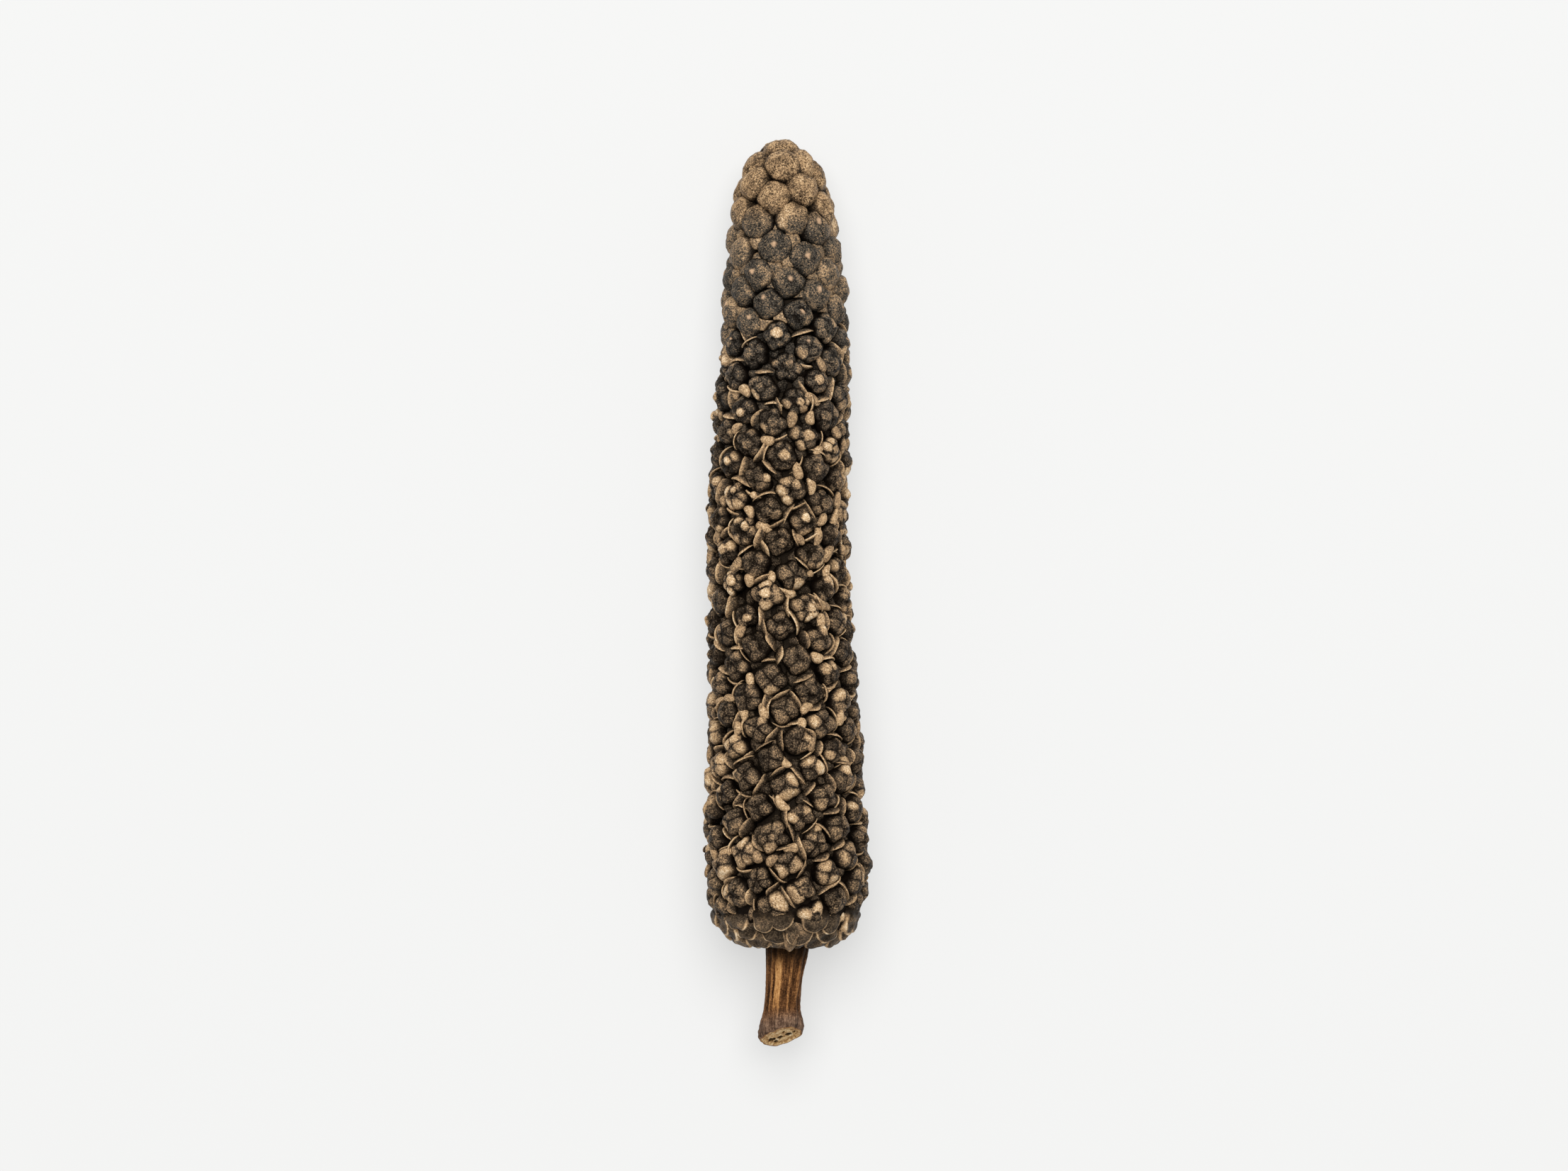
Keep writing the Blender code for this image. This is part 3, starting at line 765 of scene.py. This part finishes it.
def collar_edge(angle, last_scales):
    """How much of the outline is left at the free edge, which follows the last scales."""
    edge = np.full(COLLAR_SIDES, COLLAR_EDGE[1])
    for middle, base, tip, half_width, _ in last_scales:
        across = turn_from(middle, angle) * 1.6 / half_width
        edge = np.minimum(edge, base - (base - tip) * np.sqrt(np.clip(1 - across ** 2, 0, 1)))
    return np.maximum(edge, COLLAR_EDGE[0])


def collar_relief(left, angle, scales, rng):
    """Height, tone and pale rims of the scales, each a low dome with a step at its rim."""
    radius = radius_where(left * MM) / MM + np.minimum(left, 0)
    height = at_stops(left, COLLAR_BED)
    tone, rims = np.full_like(left, 0.14), np.zeros_like(left)
    for middle, base, tip, half_width, rise in scales:
        across = turn_from(middle, angle) * radius
        along = (base - left) / (base - tip)
        across = (across + rng.uniform(-0.35, 0.35) * (along - 0.5)) / half_width
        away = np.abs(across) ** 2.2 + np.abs(along) ** rng.uniform(2, 2.6)
        dome = rng.uniform(0.1, 0.2) * np.sqrt(np.clip(1 - away, 0, 1))
        lift = rise + dome + 0.36 * ease(0, 0.95, along) - 1.1 * ease(0.15, -0.4, along)
        lift = lift - 0.5 * ease(0.93, 1.15, away)
        inside = (away < 1.15) & (lift > height)
        rim = ease(0.68, 0.84, away) * ease(1.03, 0.97, away) * ease(0.1, 0.4, along)
        height = np.where(inside, lift, height)
        # Each scale is paler where its dome is higher, as painted highlight.
        tone = np.where(inside, rng.uniform(0.11, 0.25) + dome, tone)
        rims = np.where(inside, rim, rims)
    return height, tone, rims


def add_collar(batch, rng):
    """One closed body for all the scales on the spike's end."""
    angle = circle(COLLAR_SIDES)
    scales = collar_scales(rng)
    edge = collar_edge(angle, scales[-COLLAR_ROWS[-1][0]:])
    left = COLLAR_FROM + (edge - COLLAR_FROM) * np.linspace(0, 1, COLLAR_RINGS)[:, None]
    height, tone, rims = collar_relief(left, angle, scales, rng)
    # Painted shade where it lies lower than what is round it, and where it starts deep under the fruits.
    around = sum(np.roll(height, turn, axis=1) for turn in range(-4, 5)) / 9
    padded = np.pad(around, ((4, 4), (0, 0)), mode="edge")
    around = sum(padded[k:k + COLLAR_RINGS] for k in range(9)) / 9
    sunk = 0.7 * ease(0.03, 0.14, around - height) * (1 - rims)
    sunk = np.maximum(sunk, 0.9 * ease(2.4, 2.9, left) * (1 - rims))
    rough = ripple(collar_spot(left * MM, angle + 0 * left, 0 * left), 0.6 * MM, rng)
    points = collar_spot(left * MM, angle + 0 * left, (height + 0.05 * rough) * MM)
    inner = [collar_spot(left[-1] * MM, angle, (height[-1] - step) * MM) for step in COLLAR_INNER]
    every = np.concatenate([points, inner])
    looks = looks_of(tone + rims * (0.5 + 0.14 * rough) + 0.05 * rough, sunk, 0.8)
    # The rings inside the free edge and the closing points are in full painted shade.
    edge_looks = np.tile(FULL_PAINTED_SHADE, (len(inner), COLLAR_SIDES, 1))
    edge_looks[0] = [0.5, 0, 1, 0]
    ends = [points[0].mean(axis=0), round_end(0, 0, -COLLAR_CLOSES)]
    batch.add(*closed_body(every, np.concatenate([looks, edge_looks]), ends, [FULL_PAINTED_SHADE] * 2))


# The stalk
STALK_CURVE = smooth_curve(STALK_OUTLINE)
STALK_MIDDLE = smooth_curve(STALK_SWAY)
STALK_TOP = SPIKE_END - SOCKET_DEPTH + STALK_GAP
CUT_SLOPE = math.hypot(CUT_SLOPE_UP, CUT_SLOPE_SIDE)
STALK_LENGTH = TOTAL_LENGTH - STALK_TOP - CUT_SLOPE * STALK_OUTLINE[-1][1] * MM
STALK_SIDES = 200
STALK_RINGS = 100
# Ribs round the stalk from its top side: angle and half width in degrees, height, tone
STALK_RIBS = [
    (-66, 15, 0.05, 0.46), (-37, 5, 0.07, 0.6), (-15, 13, 0.05, 0.86), (24, 6, 0.06, 0.56),
    (56, 9, 0.07, 0.5), (82, 10, 0.05, 0.4), (108, 10, 0.07, 0.5), (135, 12, 0.05, 0.45),
    (163, 11, 0.07, 0.52), (-170, 10, 0.05, 0.45), (-143, 12, 0.07, 0.5), (-112, 11, 0.06, 0.45),
]
FOOT_NOTCH = 5.85
# The way into the break, and the rings on it.
INTO_BREAK = np.array([0, 0.905, -0.425])
BREAK_RINGS = 26
# Pits in the pith: shares of the radius to the right and up, and their size.
CUT_PITS = [
    (-0.46, -0.3, 0.2), (-0.05, -0.22, 0.16), (0.35, -0.06, 0.17), (0.1, 0.34, 0.08),
    (-0.25, -0.6, 0.12), (0.62, 0.1, 0.09),
]


def stalk_ribs(angle):
    """Height and tone of the ribs at angles round the stalk."""
    height, tone = np.zeros_like(angle), np.full_like(angle, 0.27)
    for degrees, half, rise, pale in STALK_RIBS:
        away = np.abs(np.degrees(turn_from(math.radians(degrees), angle)))
        cap = np.clip(1 - (away / half) ** 2, 0, 1) ** 0.6
        height = np.maximum(height, rise * cap)
        tone = np.maximum(tone, pale * np.minimum(cap * 1.5, 1))
    return height * MM, tone


def stalk_side(angle, rng):
    """Points and looks of the ribbed bark down to the break, and the point at its top."""
    share = np.linspace(0, 1, STALK_RINGS + 1)[:, None]
    foot = ease(0.7, 0.92, share)
    twist = 0.1 * np.sin(share * 3) + 0.03 * np.sin(share * 11)
    height, tone = stalk_ribs(angle + twist)
    lobe = (0.05 * np.sin(4 * angle + 0.6) + 0.03 * np.sin(9 * angle + 2)) * foot
    lobe = lobe - 0.14 * foot * np.exp(-((angle - FOOT_NOTCH) / 0.12) ** 2)
    radius = at_stops(share, STALK_CURVE) + lobe - 0.05
    radius = radius * MM + height * (1 - 0.6 * foot)
    x = at_stops(share, STALK_MIDDLE) * MM
    z = axis_at(STALK_TOP)[1] - STALK_DROOP * share ** 2
    across, up = radius * np.sin(angle), radius * np.cos(angle)
    slant = (CUT_SLOPE_UP * up + CUT_SLOPE_SIDE * across) * share ** CUT_SLOPE_FADE
    y = TIP_Y - STALK_TOP - STALK_LENGTH * share + slant
    points = np.stack([x + across, y, z + up], -1)
    wear = ripple(points * [1, 0.2, 1], 0.5 * MM, rng) + (0.5 + foot) * ripple(points, 0.4 * MM, rng)
    points[..., 0] += 0.012 * MM * wear * np.sin(angle)
    points[..., 2] += 0.012 * MM * wear * np.cos(angle)
    bright = ease(0.16, 0.38, share) * ease(0.8, 0.58, share)
    tone = 0.3 + (tone - 0.3) * (0.35 + 0.65 * bright) * (1 - 0.5 * foot) + 0.12 * foot + 0.05 * wear
    # Painted shade on the stalk's top, which lies under the hanging scales.
    looks = looks_of(tone, ease(0.34, 0.12, share) * 0.85, 0, foot)
    return points, looks, [x[0, 0], TIP_Y - STALK_TOP, z[0, 0]]


def stalk_break(rim, angle, rng):
    """Points and looks of a pale pith with rings and pits inside a thin bark."""
    centre = rim.mean(axis=0)
    widths = np.linspace(0.97, 0.06, BREAK_RINGS)[:, None]
    points = widths[..., None] * (rim - centre) + centre
    grain = ripple(points, 0.22 * MM, rng)
    depth = 0.07 * MM * ease(0.92, 0.8, widths) + 0.018 * MM * grain
    depth = depth - 0.04 * MM * np.exp(-((widths - 0.86) / 0.05) ** 2)
    pits, shade = np.zeros_like(depth), np.zeros_like(depth)
    for pit_across, pit_up, size in CUT_PITS:
        away = np.hypot(widths * np.sin(angle) - pit_across, widths * np.cos(angle) - pit_up)
        pits = np.maximum(pits, ease(size, size * 0.55, away))
        shade = np.maximum(shade, ease(size * 1.05, size * 0.85, away))
    depth = depth + 0.2 * MM * pits
    points += depth[..., None] * INTO_BREAK
    tone = 0.6 + 0.16 * np.cos(widths * 13) + 0.08 * grain
    return points, looks_of(tone, shade, ease(0.94, 0.88, widths))


def add_stalk(batch, rng):
    """The stalk as one closed body."""
    angle = circle(STALK_SIDES)
    side, side_looks, top = stalk_side(angle, rng)
    cut, cut_looks = stalk_break(side[-1], angle, rng)
    looks = np.concatenate([side_looks, cut_looks])
    ends = [top, cut[-1].mean(axis=0)]
    batch.add(*closed_body(np.concatenate([side, cut]), looks, ends, looks[[0, -1], 0]))


# Materials
SHEEN = 0.08
SHEEN_TINT = (1, 0.76, 0.52, 1)


def new_material(name, roughness):
    """A material and its shader."""
    material = bpy.data.materials.new(name)
    material.use_nodes = True
    shader = material.node_tree.nodes["Principled BSDF"]
    shader.inputs["Roughness"].default_value = roughness
    shader.inputs["Specular IOR Level"].default_value = SHEEN
    shader.inputs["Specular Tint"].default_value = SHEEN_TINT
    return material, shader


class Nodes:
    """Short calls for making the nodes of a material."""

    def __init__(self, tree):
        self.tree = tree
        self.place = self.node("TexCoord").outputs["Object"]
        looks = self.node("Attribute")
        looks.attribute_name = "looks"
        split = self.node("SeparateColor", Color=looks.outputs["Color"])
        # The second look is painted shade.
        self.tan, self.sunk, self.rim = split.outputs
        self.spot = looks.outputs["Alpha"]
        self.y = self.node("SeparateXYZ", Vector=self.place).outputs["Y"]

    def feed(self, socket, value):
        """Sets the socket to a value, or links another socket to it."""
        if isinstance(value, bpy.types.NodeSocket):
            self.tree.links.new(value, socket)
        else:
            socket.default_value = value

    def node(self, kind, **inputs):
        node = self.tree.nodes.new("ShaderNode" + kind)
        for name, value in inputs.items():
            self.feed(node.inputs[name], value)
        return node

    def noise(self, size, detail, roughness, stretch=None):
        """Noise with grains of about this many metres."""
        place = self.place
        if stretch:
            place = self.node("Mapping", Vector=place, Scale=stretch).outputs["Vector"]
        noise = self.node("TexNoise", Vector=place, Scale=1 / size, Detail=detail, Roughness=roughness)
        return noise.outputs["Fac"]

    def cells(self, size):
        """A number for each grain of about this many metres."""
        cells = self.node("TexVoronoi", Vector=self.place, Scale=1 / size)
        return self.node("SeparateColor", Color=cells.outputs["Color"]).outputs["Red"]

    def math(self, operation, first, second, clamp=False):
        node = self.node("Math")
        node.operation = operation
        node.use_clamp = clamp
        self.feed(node.inputs[0], first)
        self.feed(node.inputs[1], second)
        return node.outputs[0]

    def times(self, first, second):
        return self.math("MULTIPLY", first, second)

    def centred(self, value, amount):
        """A value from 0 to 1, moved to be even about 0 and scaled."""
        return self.times(self.math("SUBTRACT", value, 0.5), amount)

    def ramp(self, value, stops):
        """Linear colours or greys at places of a value from 0 to 1."""
        node = self.node("ValToRGB", Fac=value)
        elements = node.color_ramp.elements
        while len(elements) < len(stops):
            elements.new(0.5)
        for element, (place, colour) in zip(elements, stops):
            element.position = place
            element.color = (*(colour if isinstance(colour, tuple) else (colour,) * 3), 1)
        return node.outputs["Color"]

    def mix(self, share, first, second):
        """The first colour, with this share of the second."""
        node = self.node("Mix")
        node.data_type = "RGBA"
        for number, value in ((0, share), (6, first), (7, second)):
            self.feed(node.inputs[number], (*value, 1) if isinstance(value, tuple) else value)
        return node.outputs[2]

    def surface(self, shader, colour, relief, grain, grain_depth, grain_strength):
        """The shader's colour, and its normal with a fine grain over a coarse relief."""
        coarse = self.node("Bump", Height=relief, Distance=0.05 * MM, Strength=0.6)
        fine = self.node("Bump", Height=grain, Distance=grain_depth, Strength=grain_strength,
                         Normal=coarse.outputs["Normal"])
        self.feed(shader.inputs["Base Color"], colour)
        self.feed(shader.inputs["Normal"], fine.outputs["Normal"])


# Colours from dark to pale, of the brown fruits and of the slate ones.
FRUIT_COLOURS = [
    (0, (0.006, 0.003, 0.001)), (0.2, (0.038, 0.022, 0.01)), (0.4, (0.146, 0.09, 0.047)),
    (0.6, (0.41, 0.256, 0.132)), (0.8, (0.68, 0.455, 0.24)), (1, (0.9, 0.73, 0.51)),
]
SLATE_COLOURS = [
    (0, (0.006, 0.005, 0.004)), (0.2, (0.032, 0.029, 0.025)), (0.4, (0.1, 0.084, 0.064)),
    (0.6, (0.32, 0.208, 0.118)), (0.8, (0.59, 0.39, 0.21)), (1, (0.86, 0.67, 0.45)),
]
# How strong the grain is and how slate the fruits are, at shares of the length up to the tip.
GRAIN_STRENGTH = [(0.66, 0.9), (0.8, 0.95)]
SLATE_ZONE = [(0.62, 0.45), (0.8, 1), (0.9, 1), (0.925, 0.2)]
SCAR_COLOURS = [(0.34, 0.2, 0.115), (0.82, 0.55, 0.34)]
# Painted shade: the colour that gaps and creases are darkened towards.
FRUIT_PAINTED_SHADE = (0.004, 0.0025, 0.0018)
BARK_COLOURS = [
    (0, (0.012, 0.005, 0.002)), (0.25, (0.062, 0.025, 0.009)), (0.48, (0.185, 0.08, 0.029)),
    (0.7, (0.4, 0.188, 0.062)), (1, (0.64, 0.35, 0.135)),
]
FOOT_COLOURS = [
    (0, (0.018, 0.01, 0.007)), (0.35, (0.095, 0.056, 0.038)), (0.7, (0.27, 0.175, 0.12)),
    (1, (0.62, 0.48, 0.37)),
]
PITH_COLOURS = [
    (0.1, (0.12, 0.052, 0.016)), (0.4, (0.42, 0.225, 0.085)), (0.7, (0.78, 0.52, 0.245)),
    (1, (0.96, 0.82, 0.58)),
]
# Painted shade: the colour that the stalk's top and the pits are darkened towards.
STALK_PAINTED_SHADE = (0.008, 0.004, 0.002)


def fruit_material():
    """Grainy brown and slate fruits, with scars, and painted shade nearly black in the gaps."""
    material, shader = new_material("dried_fruit_fine", 0.48)
    nodes = Nodes(material.node_tree)
    grain = nodes.noise(0.085 * MM, detail=2, roughness=0.7)
    patch = nodes.noise(0.45 * MM, detail=3, roughness=0.6)
    speck = nodes.cells(0.065 * MM)
    share = nodes.math("ADD", nodes.times(nodes.y, 1 / TOTAL_LENGTH), 0.5)
    rough = nodes.math("SUBTRACT", 1, nodes.times(nodes.rim, 0.6))
    strength = nodes.times(nodes.ramp(share, GRAIN_STRENGTH), rough)
    tone = nodes.centred(grain, nodes.times(strength, 1.35))
    tone = nodes.math("ADD", nodes.tan, tone)
    tone = nodes.math("ADD", tone, nodes.centred(speck, nodes.times(strength, 0.36)))
    tone = nodes.math("ADD", tone, nodes.centred(patch, 0.4), clamp=True)
    slate = nodes.ramp(share, SLATE_ZONE)
    colour = nodes.mix(slate, nodes.ramp(tone, FRUIT_COLOURS), nodes.ramp(tone, SLATE_COLOURS))
    colour = nodes.mix(nodes.spot, colour, nodes.mix(grain, *SCAR_COLOURS))
    # Painted shade darkens the colour towards near black.
    colour = nodes.mix(nodes.times(nodes.sunk, 0.96), colour, FRUIT_PAINTED_SHADE)
    nodes.surface(shader, colour, patch, grain, 0.022 * MM, 0.7)
    return material


def stalk_material():
    """Streaked bark, duller on the foot, with pale pith in the break."""
    material, shader = new_material("dried_stalk_fine", 0.62)
    nodes = Nodes(material.node_tree)
    grain = nodes.noise(0.09 * MM, detail=3, roughness=0.65)
    streak = nodes.noise(0.12 * MM, detail=3, roughness=0.6, stretch=(1, 0.12, 1))
    tone = nodes.math("ADD", nodes.tan, nodes.centred(streak, 1))
    tone = nodes.math("ADD", tone, nodes.centred(grain, 0.9), clamp=True)
    foot = nodes.times(nodes.spot, 0.85)
    colour = nodes.mix(foot, nodes.ramp(tone, BARK_COLOURS), nodes.ramp(tone, FOOT_COLOURS))
    colour = nodes.mix(nodes.rim, colour, nodes.ramp(tone, PITH_COLOURS))
    # Painted shade on the stalk's top and in the pits of the pith.
    colour = nodes.mix(nodes.times(nodes.sunk, 0.94), colour, STALK_PAINTED_SHADE)
    nodes.surface(shader, colour, streak, grain, 0.02 * MM, 0.6)
    return material


# The pepper
# Pieces of fruits: from and to, and each fruit's rings and sides
FRUIT_PIECES = [
    ("fruits_tip", -1, 11, 17, 44), ("fruits_upper", 11, 22, 18, 48),
    ("fruits_middle", 22, 33, 18, 48), ("fruits_lower", 33, 45, 18, 46),
]
fruit_finish = fruit_material()
lobes = Lobes(np.random.default_rng(SEED + 1))
fruit = Fruit(np.random.default_rng(SEED + 2))
for name, begin, end, rings, segments in FRUIT_PIECES:
    which = np.flatnonzero((TO_STALK >= begin) & (TO_STALK < end))
    fruits = Batch()
    fruits.add(*fruit_bodies(which, rings, segments, lobes, fruit))
    fruits.make(name, fruit_finish)

shells, chips, beans, core, fringe, stalk = (Batch() for _ in range(6))
add_shells(shells, np.random.default_rng(SEED + 3))
add_fillers(chips, beans, np.random.default_rng(SEED + 4))
add_core(core)
fringe_rng = np.random.default_rng(SEED + 5)
add_collar(fringe, fringe_rng)
add_leaf(fringe, fringe_rng)
add_stalk(stalk, np.random.default_rng(SEED + 6))
for batch, name in (
        (shells, "scales_round_fruits"), (chips, "chips_between_fruits"),
        (beans, "beans_between_fruits"), (core, "core"), (fringe, "fringe_over_stalk")):
    batch.make(name, fruit_finish)
stalk.make("stalk_fine", stalk_material(), "dried_stalk", "stalk")

# Floor, light and camera
FLOOR_HALF = 600 * MM
FLOOR_COLOUR = (0.313, 0.313, 0.309, 1)
FLOOR_GLOW = (0.995, 1, 0.995, 1)
FLOOR_GLOW_STRENGTH = 0.56
SKY_STRENGTH = 0.3
LAMP_SIZE = 0.55
LAMP_POWER = 4.3
LAMP_SPOT = Vector((0, 0.22, 0.6))
# The view is this wide near the height of the spike's axis.
VIEW_WIDTH = 86.17 * MM
VIEW_HEIGHT = 4.5 * MM
CAMERA_AWAY = 400 * MM
VIEW_MIDDLE = (-0.19 * MM, 0.39 * MM)

corners = [(FLOOR_HALF * x, FLOOR_HALF * y, 0) for x, y in ((-1, -1), (1, -1), (1, 1), (-1, 1))]
floor_mesh = bpy.data.meshes.new("floor")
floor_mesh.from_pydata(corners, [], [(0, 1, 2, 3)])
floor = new_object("floor", floor_mesh)
floor_material, floor_shader = new_material("floor_white", 0.9)
floor_shader.inputs["Base Color"].default_value = FLOOR_COLOUR
floor_shader.inputs["Emission Color"].default_value = FLOOR_GLOW
floor_shader.inputs["Emission Strength"].default_value = FLOOR_GLOW_STRENGTH
floor_mesh.materials.append(floor_material)

world = bpy.data.worlds.new("studio")
bpy.context.scene.world = world
world.use_nodes = True
background = world.node_tree.nodes["Background"]
background.inputs["Color"].default_value = (1, 1, 1, 1)
background.inputs["Strength"].default_value = SKY_STRENGTH

lamp_data = bpy.data.lights.new("softbox", "AREA")
lamp_data.shape = "DISK"
lamp_data.size = LAMP_SIZE
lamp_data.energy = LAMP_POWER
lamp = new_object("softbox", lamp_data)
lamp.location = LAMP_SPOT
# It points at the middle of the floor.
lamp.rotation_euler = (-LAMP_SPOT).to_track_quat("-Z", "Y").to_euler()

camera_data = bpy.data.cameras.new("camera")
camera_data.sensor_width = 36
camera_data.lens = camera_data.sensor_width * CAMERA_AWAY / VIEW_WIDTH
camera = new_object("camera", camera_data)
camera.location = (*VIEW_MIDDLE, VIEW_HEIGHT + CAMERA_AWAY)
bpy.context.scene.camera = camera
bpy.context.scene.view_settings.view_transform = "Standard"
